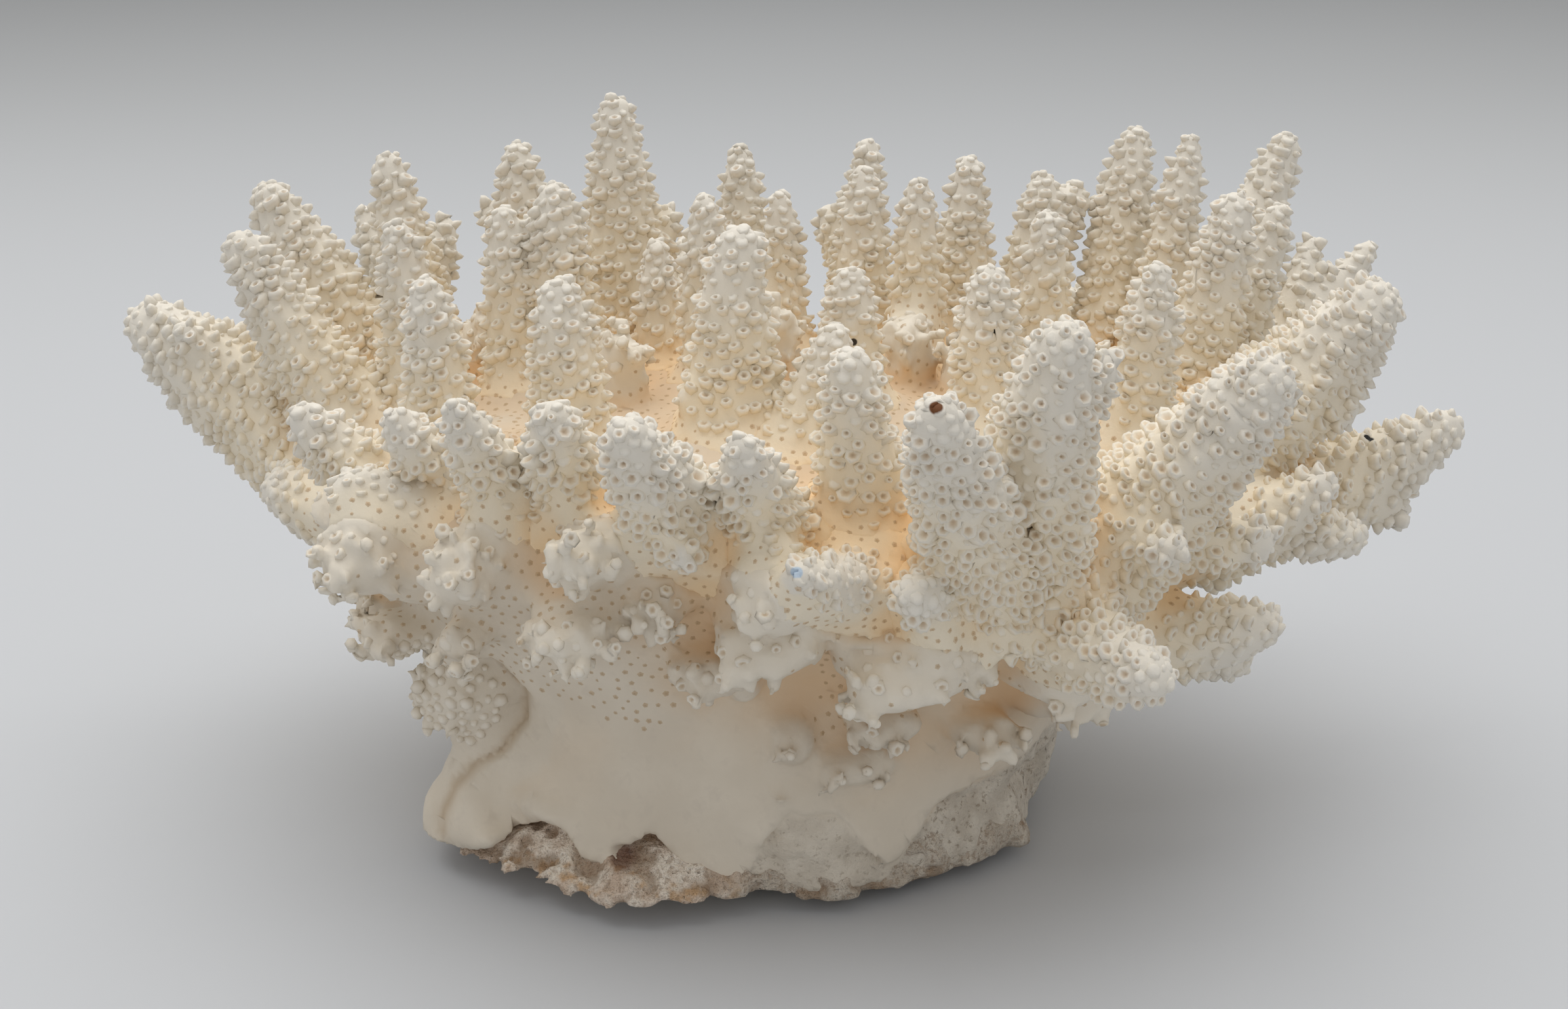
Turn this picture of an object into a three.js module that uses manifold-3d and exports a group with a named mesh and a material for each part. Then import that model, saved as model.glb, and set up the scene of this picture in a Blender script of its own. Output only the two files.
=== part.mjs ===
// Finger coral: one bleached colony, standing on the piece of reef rock that it was broken off with.
// A smooth crust wraps the rock, flares into a bowl-shaped body, and blunt fingers rise from the bowl.
// Units are millimetres, +Z is up, and the origin is the centre of the flat cut that the rock rests on.
import * as THREE from "three";
import { mergeVertices } from "three/addons/utils/BufferGeometryUtils.js";
import Module from "manifold-3d";

const wasm = await Module();
wasm.setup();

// Driving dimensions
const GAP = 0.3; // clear space kept between neighbouring pieces
const FINGER_SIDES = 6; // facets round a finger
const SHOOT_SIDES = 5; // facets round a side shoot
const BUD_SIDES = 5; // facets round a bud or a stub
const BODY_SIDES = 18; // facets round the body and the rock
const KNOB = 0.05; // how far a finger's corners stand in and out by turns, as a share of its radius
const BOW = 0.16; // sag of a leaning finger's middle, as a share of its sideways travel
const SQUARENESS = 2.5; // exponent of the plan outlines: 2 is an ellipse, more is blunter

// A finger's outline from foot (0) to tip (1): place along it, and radius as a share of half its width.
const FINGER_OUTLINE = [
  [0, 0],
  [0, 1.7],
  [0.45, 1.28],
  [0.78, 0.98],
  [0.95, 0.64],
  [1, 0],
];
const SHOOT_OUTLINE = [
  [0, 0],
  [0, 1.15],
  [0.75, 0.98],
  [1, 0],
];
const BUD_OUTLINE = [
  [0, 0],
  [0, 1.1],
  [0.82, 0.9],
  [1, 0],
];
const SHELF_OUTLINE = [
  [0, 0],
  [0, 0.85],
  [0.78, 1.1],
  [1, 0],
];

// Levels of the body and of the rock: height, and reach to the left, right, front and back of the origin.
const BODY = {
  levels: [
    { z: 7, left: 46, right: 58, front: 49, back: 42 },
    { z: 8, left: 50, right: 63, front: 53, back: 46 },
    { z: 19, left: 47, right: 63, front: 51, back: 47 },
    { z: 31, left: 49, right: 64, front: 48, back: 49 },
    { z: 42, left: 59, right: 71, front: 48, back: 54 },
    { z: 52, left: 67, right: 86, front: 52, back: 60 },
    { z: 62, left: 77, right: 98, front: 56, back: 67 },
    { z: 70, left: 70, right: 88, front: 49, back: 60 },
    { z: 77, left: 46, right: 58, front: 31, back: 40 },
  ],
  crown: 80,
  foldDepth: 0.03,
  folds: 5,
};
const ROCK = {
  levels: [
    { z: 0, left: 52, right: 54, front: 49, back: 37 },
    { z: 4, left: 54, right: 60, front: 51.5, back: 42 },
    { z: 9, left: 50, right: 60, front: 50.5, back: 44 },
    { z: 16, left: 45, right: 58, front: 48, back: 43 },
  ],
  crown: 17,
  foldDepth: 0.02,
  folds: 9,
};
const HEM_BEARING = -125; // degrees: where the crust's lower edge is highest and most of the rock shows
const HEM_LIFT = 7; // how much higher the edge is there
const HEM_WAVE = 1.5; // half height of the lobes along the edge
const HEM_LOBES = 7;

// The fingers. Each leaves the body at its foot, which lies inside the bowl, and ends at its tip.
// A shoot is a side branch of the same finger, from a place along it to a tip of its own.
const FINGERS = {
  back: [
    { foot: [-62, 30, 62], tip: [-95, 37, 116], width: 16 },
    {
      foot: [-60, 46, 60],
      tip: [-80, 60, 107],
      width: 11,
      shoots: [{ from: 0.35, tip: [-60, 62, 108], width: 10 }],
    },
    { foot: [-60, 36, 62], tip: [-70, 42, 122], width: 13 },
    {
      foot: [-40, 44, 62],
      tip: [-45, 52, 122],
      width: 13.5,
      shoots: [{ from: 0.4, tip: [-54, 54, 112], width: 9.5 }],
    },
    {
      foot: [-20, 37, 64],
      tip: [-24, 42, 133],
      width: 15.5,
      shoots: [{ from: 0.3, tip: [-12, 46, 112], width: 11 }],
    },
    { foot: [2, 46, 62], tip: [1, 52, 122], width: 12 },
    { foot: [10, 33, 66], tip: [9, 37, 115], width: 11 },
    {
      foot: [24, 54, 62],
      tip: [28, 67, 121],
      width: 12,
      shoots: [{ from: 0.35, tip: [17, 67, 109], width: 9.5 }],
    },
    { foot: [26, 37, 64], tip: [26, 42, 119], width: 12.5 },
    { foot: [45, 40, 64], tip: [48, 47, 120], width: 12.5 },
    {
      foot: [60, 46, 62],
      tip: [64, 57, 115],
      width: 13,
      shoots: [{ from: 0.5, tip: [73, 61, 114], width: 11 }],
    },
    { foot: [76, 48, 60], tip: [84, 62, 124], width: 13.5 },
    { foot: [82, 36, 62], tip: [93, 47, 125], width: 12 },
    {
      foot: [88, 42, 60],
      tip: [117, 62, 123],
      width: 14,
      shoots: [{ from: 0.5, tip: [104, 62, 108], width: 10 }],
    },
    {
      foot: [88, 28, 60],
      tip: [133, 47, 102],
      width: 12,
      shoots: [{ from: 0.5, tip: [121, 50, 106], width: 10 }],
    },
  ],
  inner: [
    { foot: [-64, 4, 62], tip: [-93, 7, 112], width: 15 },
    { foot: [-58, 6, 62], tip: [-62, 7, 115], width: 12.5 },
    { foot: [-48, -23, 60], tip: [-52, -23, 111], width: 12.5 },
    { foot: [-41, 11, 66], tip: [-43, 12, 117], width: 10.5 },
    { foot: [-31, 11, 66], tip: [-33, 12, 121], width: 14 },
    { foot: [-26, -24, 63], tip: [-29, -23, 111], width: 14 },
    { foot: [-14, 22, 66], tip: [-15, 25, 107], width: 10.5 },
    { foot: [-4, 10, 68], tip: [-5, 12, 119], width: 11 },
    {
      foot: [0, -19, 67],
      tip: [2, -18, 119],
      width: 15,
      shoots: [{ from: 0.2, tip: [-10, -25, 92], width: 8.5 }],
    },
    { foot: [23, -3, 68], tip: [22, -3, 108], width: 12.5 },
    { foot: [9, -27, 65], tip: [20, -23, 103], width: 12 },
    { foot: [36, 24, 67], tip: [36, 27, 120], width: 11 },
    { foot: [47, -15, 66], tip: [46, -13, 111], width: 13 },
    { foot: [59, 14, 66], tip: [60, 17, 114], width: 12 },
    { foot: [73, -14, 63], tip: [76, -13, 111], width: 12.5 },
    { foot: [85, 8, 62], tip: [95, 12, 119], width: 13.5 },
    { foot: [88, 20, 62], tip: [108, 27, 114], width: 12.5 },
  ],
  front: [
    { foot: [-36, -30, 62], tip: [-67, -43, 79], width: 15 },
    { foot: [-48, -22, 60], tip: [-75, -34, 90], width: 13.5 },
    { foot: [-40, -30, 60], tip: [-56, -43, 93], width: 11.5 },
    { foot: [-32, -34, 62], tip: [-43, -59, 99], width: 12 },
    { foot: [-24, -36, 62], tip: [-27, -59, 98], width: 13.5 },
    {
      foot: [-2, -40, 64],
      tip: [-15, -77, 100],
      width: 15.5,
      shoots: [{ from: 0.3, tip: [-6, -72, 76], width: 9 }],
    },
    {
      foot: [10, -40, 63],
      tip: [3, -74, 97],
      width: 13,
      shoots: [{ from: 0.3, tip: [8, -69, 77], width: 11 }],
    },
    { foot: [25, -40, 62], tip: [20, -53, 106], width: 14 },
    { foot: [28, -42, 62], tip: [11, -78, 76], width: 12 },
    { foot: [46, -44, 60], tip: [31, -85, 106], width: 16 },
    {
      foot: [47, -46, 56],
      tip: [53, -66, 113],
      width: 18,
      shoots: [{ from: 0.55, tip: [63, -58, 109], width: 11 }],
    },
    {
      foot: [58, -36, 58],
      tip: [92, -47, 102],
      width: 19,
      shoots: [
        { from: 0.45, tip: [98, -38, 97], width: 12 },
        { from: 0.2, tip: [76, -62, 75], width: 10 },
        { from: 0.25, tip: [100, -36, 67], width: 12 },
      ],
    },
    { foot: [54, -40, 56], tip: [70, -77, 57], width: 14 },
    { foot: [40, -42, 58], tip: [29, -73, 71], width: 12 },
  ],
  left: [
    {
      foot: [-60, 8, 56],
      tip: [-117, 17, 95],
      width: 22,
      shoots: [
        { from: 0.6, tip: [-107, 6, 97], width: 10 },
        { from: 0.5, tip: [-112, 12, 78], width: 10 },
      ],
    },
    { foot: [-56, -4, 52], tip: [-88, -6, 67], width: 16 },
    {
      foot: [-54, 26, 54],
      tip: [-104, 38, 76],
      width: 15,
      shoots: [{ from: 0.4, tip: [-92, 50, 68], width: 10 }],
    },
  ],
  right: [
    {
      foot: [80, -4, 62],
      tip: [122, -3, 104],
      width: 20,
      shoots: [{ from: 0.4, tip: [119, -10, 82], width: 10 }],
    },
    {
      foot: [86, 0, 54],
      tip: [141, 5, 76],
      width: 17,
      shoots: [{ from: 0.45, tip: [134, 0, 58], width: 11 }],
    },
    {
      foot: [76, -16, 56],
      tip: [111, -21, 73],
      width: 12.5,
      shoots: [{ from: 0.4, tip: [122, -13, 59], width: 12 }],
    },
    {
      foot: [58, -30, 46],
      tip: [99, -37, 51],
      width: 15,
      shoots: [{ from: 0.4, tip: [98, -28, 39], width: 11 }],
    },
  ],
  rear: [
    {
      foot: [-36, 48, 54],
      tip: [-52, 84, 86],
      width: 14,
      shoots: [
        { from: 0.35, tip: [-72, 72, 80], width: 11 },
        { from: 0.4, tip: [-40, 82, 68], width: 10 },
      ],
    },
    {
      foot: [-8, 52, 56],
      tip: [-12, 90, 94],
      width: 14.5,
      shoots: [
        { from: 0.3, tip: [-28, 82, 92], width: 11 },
        { from: 0.35, tip: [-2, 88, 74], width: 10 },
      ],
    },
    {
      foot: [30, 54, 55],
      tip: [42, 92, 88],
      width: 14,
      shoots: [
        { from: 0.3, tip: [20, 88, 86], width: 11.5 },
        { from: 0.4, tip: [34, 90, 68], width: 10 },
      ],
    },
    {
      foot: [58, 50, 54],
      tip: [80, 86, 84],
      width: 14,
      shoots: [
        { from: 0.3, tip: [62, 84, 92], width: 11.5 },
        { from: 0.4, tip: [68, 86, 66], width: 10 },
      ],
    },
    {
      foot: [80, 32, 54],
      tip: [127, 64, 80],
      width: 14,
      shoots: [
        { from: 0.3, tip: [106, 74, 74], width: 12 },
        { from: 0.4, tip: [132, 44, 74], width: 11 },
      ],
    },
  ],
};

// Buds: short branchlets on the body's sides, fused to it. Each is set on the body at a bearing (degrees
// from the right, so -90 faces the front) and a height, and stands out by its reach, tipped up by its lift.
// A bud with a flatness is a shelf, widest near its outer edge: its thickness is that share of its width.
const BUDS = [
  { bearing: -143, z: 60, reach: 12, lift: 8, width: 12 },
  { bearing: -129, z: 65, reach: 11, lift: 2, width: 13 },
  { bearing: -132, z: 55, reach: 9, lift: -4, width: 12, flatness: 0.6 },
  { bearing: -138, z: 48, reach: 7, lift: -1, width: 9 },
  { bearing: -110, z: 64, reach: 16, lift: 11, width: 11 },
  { bearing: -113, z: 62, reach: 12, lift: -6, width: 18, flatness: 0.45 },
  { bearing: -101, z: 64, reach: 12, lift: -3, width: 12, flatness: 0.55 },
  { bearing: -84, z: 60, reach: 17, lift: 8, width: 11 },
  { bearing: -83, z: 62, reach: 13, lift: -8, width: 20, flatness: 0.45 },
  { bearing: -93, z: 52, reach: 11, lift: -5, width: 17, flatness: 0.45 },
  { bearing: -86, z: 44, reach: 5, lift: 0, width: 8 },
  { bearing: -63, z: 56, reach: 14, lift: -8, width: 25, flatness: 0.4 },
  { bearing: -53, z: 62, reach: 14, lift: -8, width: 23, flatness: 0.4 },
  { bearing: -38, z: 46, reach: 12, lift: -4, width: 14, flatness: 0.5 },
  { bearing: -61, z: 42, reach: 10, lift: -8, width: 17, flatness: 0.45 },
  { bearing: -64, z: 30, reach: 7, lift: -3, width: 18, flatness: 0.4 },
  { bearing: -43, z: 34, reach: 10, lift: -4, width: 14, flatness: 0.5 },
  { bearing: -77, z: 35, reach: 7, lift: -2, width: 10 },
  { bearing: -31, z: 37, reach: 13, lift: 0, width: 16, flatness: 0.55 },
  { bearing: -152, z: 47, reach: 13, lift: -1, width: 16, flatness: 0.55 },
  { bearing: -168, z: 42, reach: 12, lift: 1, width: 14, flatness: 0.55 },
  { bearing: -147, z: 36, reach: 12, lift: 1, width: 20 },
  { bearing: -147, z: 11.5, reach: 10, lift: -1, width: 30, flatness: 0.42 },
];
// Round the back the buds stand in two staggered rows, evenly spaced.
const BACK_BUD_ROWS = [
  { z: 52, start: 8, step: 26, count: 7, reach: 12, lift: 3, width: 19, flatness: 0.55 },
  { z: 40, start: 21, step: 33, count: 5, reach: 9, lift: 0, width: 13 },
];
const BUD_ROOT = 6; // how deep a bud's root sits in the body

// Stubs: short young fingers on the floor of the bowl, between the grown ones: where they stand and end.
const STUBS = [
  { spot: [34, 13], top: 93, width: 11 },
  { spot: [-20, -2], top: 95, width: 11 },
  { spot: [8, 12], top: 96, width: 11 },
  { spot: [44, 6], top: 92, width: 11 },
  { spot: [68, 2], top: 90, width: 11 },
  { spot: [-48, 30], top: 92, width: 11 },
  { spot: [-2, 30], top: 94, width: 10 },
];
const STUB_ROOT = 66; // height of a stub's root, inside the body

const coral = { color: 0xeee3d0, roughness: 0.85, metalness: 0 };
const crust = { color: 0xe4dacb, roughness: 0.75, metalness: 0 };
const rock = { color: 0xc3b19c, roughness: 0.95, metalness: 0 };

// A closed three.js geometry as a solid that can be joined and cut.
function toSolid(geometry) {
  const bare = new THREE.BufferGeometry()
    .setAttribute("position", geometry.getAttribute("position"))
    .setIndex(geometry.index);
  const merged = mergeVertices(bare, 1e-4);
  const corners = [];
  for (let i = 0; i < merged.index.count; i += 3) {
    const [a, b, c] = merged.index.array.slice(i, i + 3);
    if (a !== b && b !== c && c !== a) corners.push(a, b, c);
  }
  const vertProperties = merged.getAttribute("position").array;
  return new wasm.Manifold(new wasm.Mesh({ numProp: 3, vertProperties, triVerts: new Uint32Array(corners) }));
}

// The largest body of a solid, as a named mesh.
function toMesh(name, solid, finish) {
  const [largest] = solid.decompose().sort((a, b) => b.volume() - a.volume());
  const { vertProperties, triVerts } = largest.getMesh();
  const geometry = new THREE.BufferGeometry()
    .setAttribute("position", new THREE.BufferAttribute(vertProperties, 3))
    .setIndex(new THREE.BufferAttribute(triVerts, 1));
  geometry.computeVertexNormals();
  const mesh = new THREE.Mesh(geometry, new THREE.MeshStandardMaterial({ ...finish, flatShading: true }));
  mesh.name = name;
  return mesh;
}

// A knobbly tapered branch: a lathe turned from an outline, then bent along a path.
function branch(path, outline, width, sides, grow, flatness = 1) {
  const radius = (share) => (share ? (share * width) / 2 + grow : 0);
  const profile = outline.map(([along, share]) => new THREE.Vector2(radius(share), along));
  const geometry = new THREE.LatheGeometry(profile, sides);
  const position = geometry.getAttribute("position");
  const end = path.getTangent(1);
  const reference = Math.abs(end.z) > 0.9 ? new THREE.Vector3(1, 0, 0) : new THREE.Vector3(0, 0, 1);
  for (let i = 0; i < position.count; i++) {
    const ring = i % profile.length;
    const side = Math.floor(i / profile.length) % sides;
    const swell = 1 + ((ring + side) % 2 ? KNOB : -KNOB);
    const along = position.getY(i);
    const tangent = path.getTangent(along);
    const across = new THREE.Vector3().crossVectors(reference, tangent).normalize();
    const beyond = new THREE.Vector3().crossVectors(tangent, across);
    const point = path
      .getPoint(along)
      .addScaledVector(beyond, position.getX(i) * swell * flatness)
      .addScaledVector(across, position.getZ(i) * swell)
      .addScaledVector(tangent, along === 1 ? grow : 0);
    position.setXYZ(i, point.x, point.y, point.z);
  }
  return toSolid(geometry);
}

// A branch's path: straight up where the foot is under the tip, and curving up where it leans.
function sweep(foot, tip) {
  const middle = new THREE.Vector3().lerpVectors(foot, tip, 0.5);
  middle.z -= BOW * Math.hypot(tip.x - foot.x, tip.y - foot.y);
  return new THREE.QuadraticBezierCurve3(foot, middle, tip);
}

function finger({ foot, tip, width, shoots = [] }, grow) {
  const path = sweep(new THREE.Vector3(...foot), new THREE.Vector3(...tip));
  const stem = branch(path, FINGER_OUTLINE, width, FINGER_SIDES, grow);
  return shoots.reduce((solid, shoot) => {
    const shootPath = sweep(path.getPoint(shoot.from), new THREE.Vector3(...shoot.tip));
    return solid.add(branch(shootPath, SHOOT_OUTLINE, shoot.width, SHOOT_SIDES, grow));
  }, stem);
}

// Reach of a level's outline in a direction: a blunt ellipse whose four sides have their own reach.
function reachAt(shape, level, angle) {
  const cosine = Math.cos(angle);
  const sine = Math.sin(angle);
  const across = cosine > 0 ? level.right : level.left;
  const along = sine > 0 ? level.back : level.front;
  const share = Math.abs(cosine / across) ** SQUARENESS + Math.abs(sine / along) ** SQUARENESS;
  const fold = 1 + shape.foldDepth * Math.sin(shape.folds * angle + level.z / 9);
  return share ** (-1 / SQUARENESS) * fold;
}

// Height of the crust's lower edge above its lowest place.
function hem(angle) {
  const facing = Math.max(0, Math.cos(angle - THREE.MathUtils.degToRad(HEM_BEARING)));
  return HEM_LIFT * facing ** 2 + HEM_WAVE * Math.sin(HEM_LOBES * angle);
}

// A lathe through a shape's levels, whose rings are then pushed out to each level's own outline.
function levelled(shape, grow, hemmedRings) {
  const { levels, crown } = shape;
  const profile = [new THREE.Vector2(0, levels[0].z - grow)];
  levels.forEach((level) => profile.push(new THREE.Vector2(1, level.z)));
  profile.push(new THREE.Vector2(0, crown + grow));
  const geometry = new THREE.LatheGeometry(profile, BODY_SIDES);
  const position = geometry.getAttribute("position");
  for (let i = 0; i < position.count; i++) {
    const ring = i % profile.length;
    const level = levels[ring - 1];
    if (!level) {
      position.setXYZ(i, 0, 0, position.getY(i));
      continue;
    }
    const angle = Math.atan2(-position.getZ(i), position.getX(i));
    const reach = reachAt(shape, level, angle) + grow;
    const drop = ring === 1 ? grow : 0;
    const rise = ring > levels.length - 2 ? grow : 0;
    const edge = ring <= hemmedRings ? hem(angle) : 0;
    position.setXYZ(i, reach * Math.cos(angle), reach * Math.sin(angle), level.z + rise - drop + edge);
  }
  return toSolid(geometry);
}

// The body's reach at any height, between its levels.
function bodyReach(z, angle) {
  const above = BODY.levels.findIndex((level) => level.z >= z);
  const low = BODY.levels[above - 1];
  const high = BODY.levels[above];
  return THREE.MathUtils.mapLinear(z, low.z, high.z, reachAt(BODY, low, angle), reachAt(BODY, high, angle));
}

function bud({ bearing, z, reach, lift, width, flatness }) {
  const angle = THREE.MathUtils.degToRad(bearing);
  const surface = bodyReach(z, angle);
  const spot = (distance, height) =>
    new THREE.Vector3(distance * Math.cos(angle), distance * Math.sin(angle), height);
  const path = sweep(spot(surface - BUD_ROOT, z), spot(surface + reach, z + lift));
  return branch(path, flatness ? SHELF_OUTLINE : BUD_OUTLINE, width, BUD_SIDES, 0, flatness);
}

function stub({ spot, top, width }) {
  const path = sweep(new THREE.Vector3(...spot, STUB_ROOT), new THREE.Vector3(...spot, top));
  return branch(path, BUD_OUTLINE, width, BUD_SIDES, 0);
}

const fingers = Object.entries(FINGERS).flatMap(([row, list]) =>
  list.map((shape, i) => ({
    name: `${row}_finger_${i + 1}`,
    full: finger(shape, 0),
    grown: finger(shape, GAP),
  })),
);
const body = levelled(BODY, 0, 2);
const bodyGrown = levelled(BODY, GAP, 2);

const colony = new THREE.Group();
colony.add(toMesh("reef_rock", levelled(ROCK, 0, 0), rock));

// A finger stops at the body, and where two fingers run together the later one gives way.
fingers.forEach(({ name, full }, i) => {
  const neighbours = fingers.slice(0, i).map((other) => other.grown);
  colony.add(toMesh(name, wasm.Manifold.difference([full, bodyGrown, ...neighbours]), coral));
});

// A bud or a stub grows only where no finger stands.
const backBuds = BACK_BUD_ROWS.flatMap(({ start, step, count, ...shape }) =>
  Array.from({ length: count }, (_, i) => ({ ...shape, bearing: start + step * i })),
);
const growths = [...[...BUDS, ...backBuds].map(bud), ...STUBS.map(stub)];
const everyFinger = wasm.Manifold.union(fingers.map((other) => other.grown));
const grownBody = growths.reduce((solid, growth) => solid.add(growth.subtract(everyFinger)), body);
const base = grownBody.subtract(levelled(ROCK, GAP, 0));
colony.add(toMesh("base", base, crust));

export default colony;
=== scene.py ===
"""Finger coral: the look of the colony over its CAD solids.

All the solids are taken together as one field of signed distances and smoothed, so that fillets round off
the fingers' feet, and each node's piece is its own share of that one surface. Scoop-shaped cups stand on
the fingers, round knobs on tips and on the rims of the shelves, and pits dot the body between them: flat
dots with painted shade in the middle, as the cups' holes also have. The crust has a ragged lower edge over
a rough porous rock. Lengths are in millimetres until a mesh is made.
"""

import heapq
import math

import bpy
import numpy as np
import openvdb
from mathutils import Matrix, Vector
from mathutils.bvhtree import BVHTree


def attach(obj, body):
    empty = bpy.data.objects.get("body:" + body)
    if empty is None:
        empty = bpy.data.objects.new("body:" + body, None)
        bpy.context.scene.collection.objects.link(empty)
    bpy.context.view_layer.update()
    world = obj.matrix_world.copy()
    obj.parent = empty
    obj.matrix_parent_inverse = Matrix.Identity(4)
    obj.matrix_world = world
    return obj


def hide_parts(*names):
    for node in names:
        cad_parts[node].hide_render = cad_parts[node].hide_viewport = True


MM = 0.001
RNG = np.random.default_rng(7)

# Photograph's camera
IMAGE_SIZE = (2392, 1540)
FOCAL_PX = 3100
CAMERA_AT = (10, -365, 188)
CAMERA_PITCH = 19.5

# Smoothed cores
VOXEL = 1.0
BAND = 7.0
PAD = 9
BASE_PAD = 20
BLUR = 1.2
FOOT_FILLET = 10.0
FORK_FILLET = 4.6
ROOT_DEPTH = 3.5
FINGER_INSET = 1.4
BASE_INSET = 0.3
BUD_INSET = -0.5
OVERLAP = 1.0
CRUST_THICK = 1.3
FLATTEN = 0.12
BROAD_STEP = 3
BROAD_BLUR = 7.5
RIM_REACH = 3.2
CROWD_REACH = 8.0
CROWD_OUT = 2.5
NORMAL_STEP = 1.2
INSET_NEAR = 6.5
SHAPE_NEAR = 4.0

# Cups, knobs and pits
CUP_SPACING = 2.2
CUP_RADIUS = 1.32
CUP_LEAN = 58
TIP_SPACING = 1.8
SHELF_SPACING = 3.1
RIM_SPACING = 2.9
PIT_SPACING = 1.95
PIT_RADIUS = 0.8
PIT_ZONE = 5.0
KNOB_RADIUS = 1.0
KNOB_HEIGHT = 0.42
SHELF_CUP_RADIUS = 1.15
SHELF_CUP_HEIGHT = 0.6
SHELF_KNOB_RADIUS = 0.95
SHELF_KNOB_HEIGHT = 0.4
NUB_SPACING = 1.9
NUB_HEIGHT = 0.75
SHELF_CUPS_TO = 0.4
SHELF_KNOBS_TO = 0.9
BURIED = -0.35
WOBBLE = 0.06
TRIES = 15

# Rock
ROCK_VOXEL = 0.65
ROCK_BAND = 9.5
ROCK_NEAR = 9.0
ROCK_PAD = 15
ROCK_FLATTEN = 0.2
FOOT_LEFT, FOOT_RIGHT, FOOT_FRONT, FOOT_BACK = 52, 57, 50, 41

# Crust, seen from the front: the fold's lip and the skirt at the left, the ragged lower edge, the nubs
FOLD_Z = (8, 11, 17, 21.6, 24, 30, 37, 45)
FOLD_X = (-51.5, -51.3, -49.4, -45, -41, -35.5, -35, -42)
FOLD_STEP = 2.2
FOLD_RUN = 5.0
SKIRT = ((-42, -27, 26), (-48, -30, 9))
SKIRT_RADIUS = 8.2
SKIRT_FILLET = 6.0
HEM = [(-62, 6), (-52, 7), (-45, 7.6), (-41, 9.4), (-36, 13), (-30, 13.8), (-26, 9.4), (-21, 8.2)]
HEM += [(-16, 12.6), (-12.8, 15), (-10, 11), (-7, 6.6), (-4, 4.6), (2.5, 3.5), (5, 12.4), (8.6, 18)]
HEM += [(12.3, 20), (19, 19.4), (24.3, 13.5), (28.8, 7.6), (33, 12.4), (38.4, 18.6), (44, 19.6)]
HEM += [(57, 22.5), (64, 21)]
HEM_X = np.arange(-70, 75, 0.5)
HEM_Z = np.interp(HEM_X, [x for x, _ in HEM], [z for _, z in HEM])
HEM_Z = np.convolve(np.pad(HEM_Z, 4, mode="edge"), np.hanning(11)[1:-1] / 5, mode="valid")
NUBS_AT = (-51, -34, 36)
NUBS_REACH = 12.5

# Specks of dirt on the skeleton: pixel in the photograph's frame, radius in mm and colour
SPECKS = [
    ((1428, 622), 1.2, (0.16, 0.06, 0.02)),
    ((1215, 874), 1.15, (0.55, 0.66, 0.78)),
    ((2086, 672), 1.4, (0.02, 0.02, 0.02)),
    ((1302, 522), 0.8, (0.05, 0.04, 0.03)),
]

# Hollows under the crust's lower edge: middle and radii
POCKETS = [((-33, -51, 15.5), (4.2, 5, 2.0)), ((-18, -52, 11.5), (2.8, 5, 1.8))]

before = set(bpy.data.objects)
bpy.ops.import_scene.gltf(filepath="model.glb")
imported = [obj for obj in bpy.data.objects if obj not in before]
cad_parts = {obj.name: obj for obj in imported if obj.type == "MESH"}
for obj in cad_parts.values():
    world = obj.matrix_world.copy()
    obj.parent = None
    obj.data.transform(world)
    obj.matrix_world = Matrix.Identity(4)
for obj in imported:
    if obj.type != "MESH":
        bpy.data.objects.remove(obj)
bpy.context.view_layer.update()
NODES = list(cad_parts)
FINGERS = [name for name in NODES if "finger" in name]


def unit(v):
    return v / (np.linalg.norm(v, axis=-1, keepdims=True) + 1e-9)


def smoothstep(low, high, x):
    t = np.clip((x - low) / (high - low), 0, 1)
    return t * t * (3 - 2 * t)


def lattice(ix, iy, iz, seed):
    """A repeatable random number from 0 to 1 for each whole-number place."""
    h = (ix * 374761393 + iy * 668265263 + iz * 2147483647 + seed * 144665) & 0xFFFFFFFF
    h = ((h ^ (h >> 13)) * 1274126177) & 0xFFFFFFFF
    h = ((h ^ (h >> 16)) * 2246822519) & 0xFFFFFFFF
    return ((h ^ (h >> 15)) & 0xFFFF) / 65535.0


def noise(points, size, seed):
    """Smooth noise from -1 to 1 with features of about the given size in mm."""
    p = points / size
    cell = np.floor(p).astype(np.int64)
    f = p - cell
    f = f * f * (3 - 2 * f)
    out = np.zeros(len(points))
    for corner in np.ndindex(2, 2, 2):
        w = np.prod(np.where(np.array(corner), f, 1 - f), axis=1)
        i, j, k = (cell + corner).T
        out += w * lattice(i, j, k, seed)
    return out * 2 - 1


def cells(points, size, seed):
    """Distance to the nearest of a set of scattered points, about one in each cube of the given size."""
    p = points / size
    cell = np.floor(p).astype(np.int64)
    best = np.full(len(points), 9.0)
    for shift in np.ndindex(3, 3, 3):
        c = cell + np.array(shift) - 1
        spot = np.stack([lattice(*c.T, seed + k) for k in range(3)], axis=1) + c
        best = np.minimum(best, np.linalg.norm(p - spot, axis=1))
    return best * size


# Fields: signed distances in a box of voxels


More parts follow.
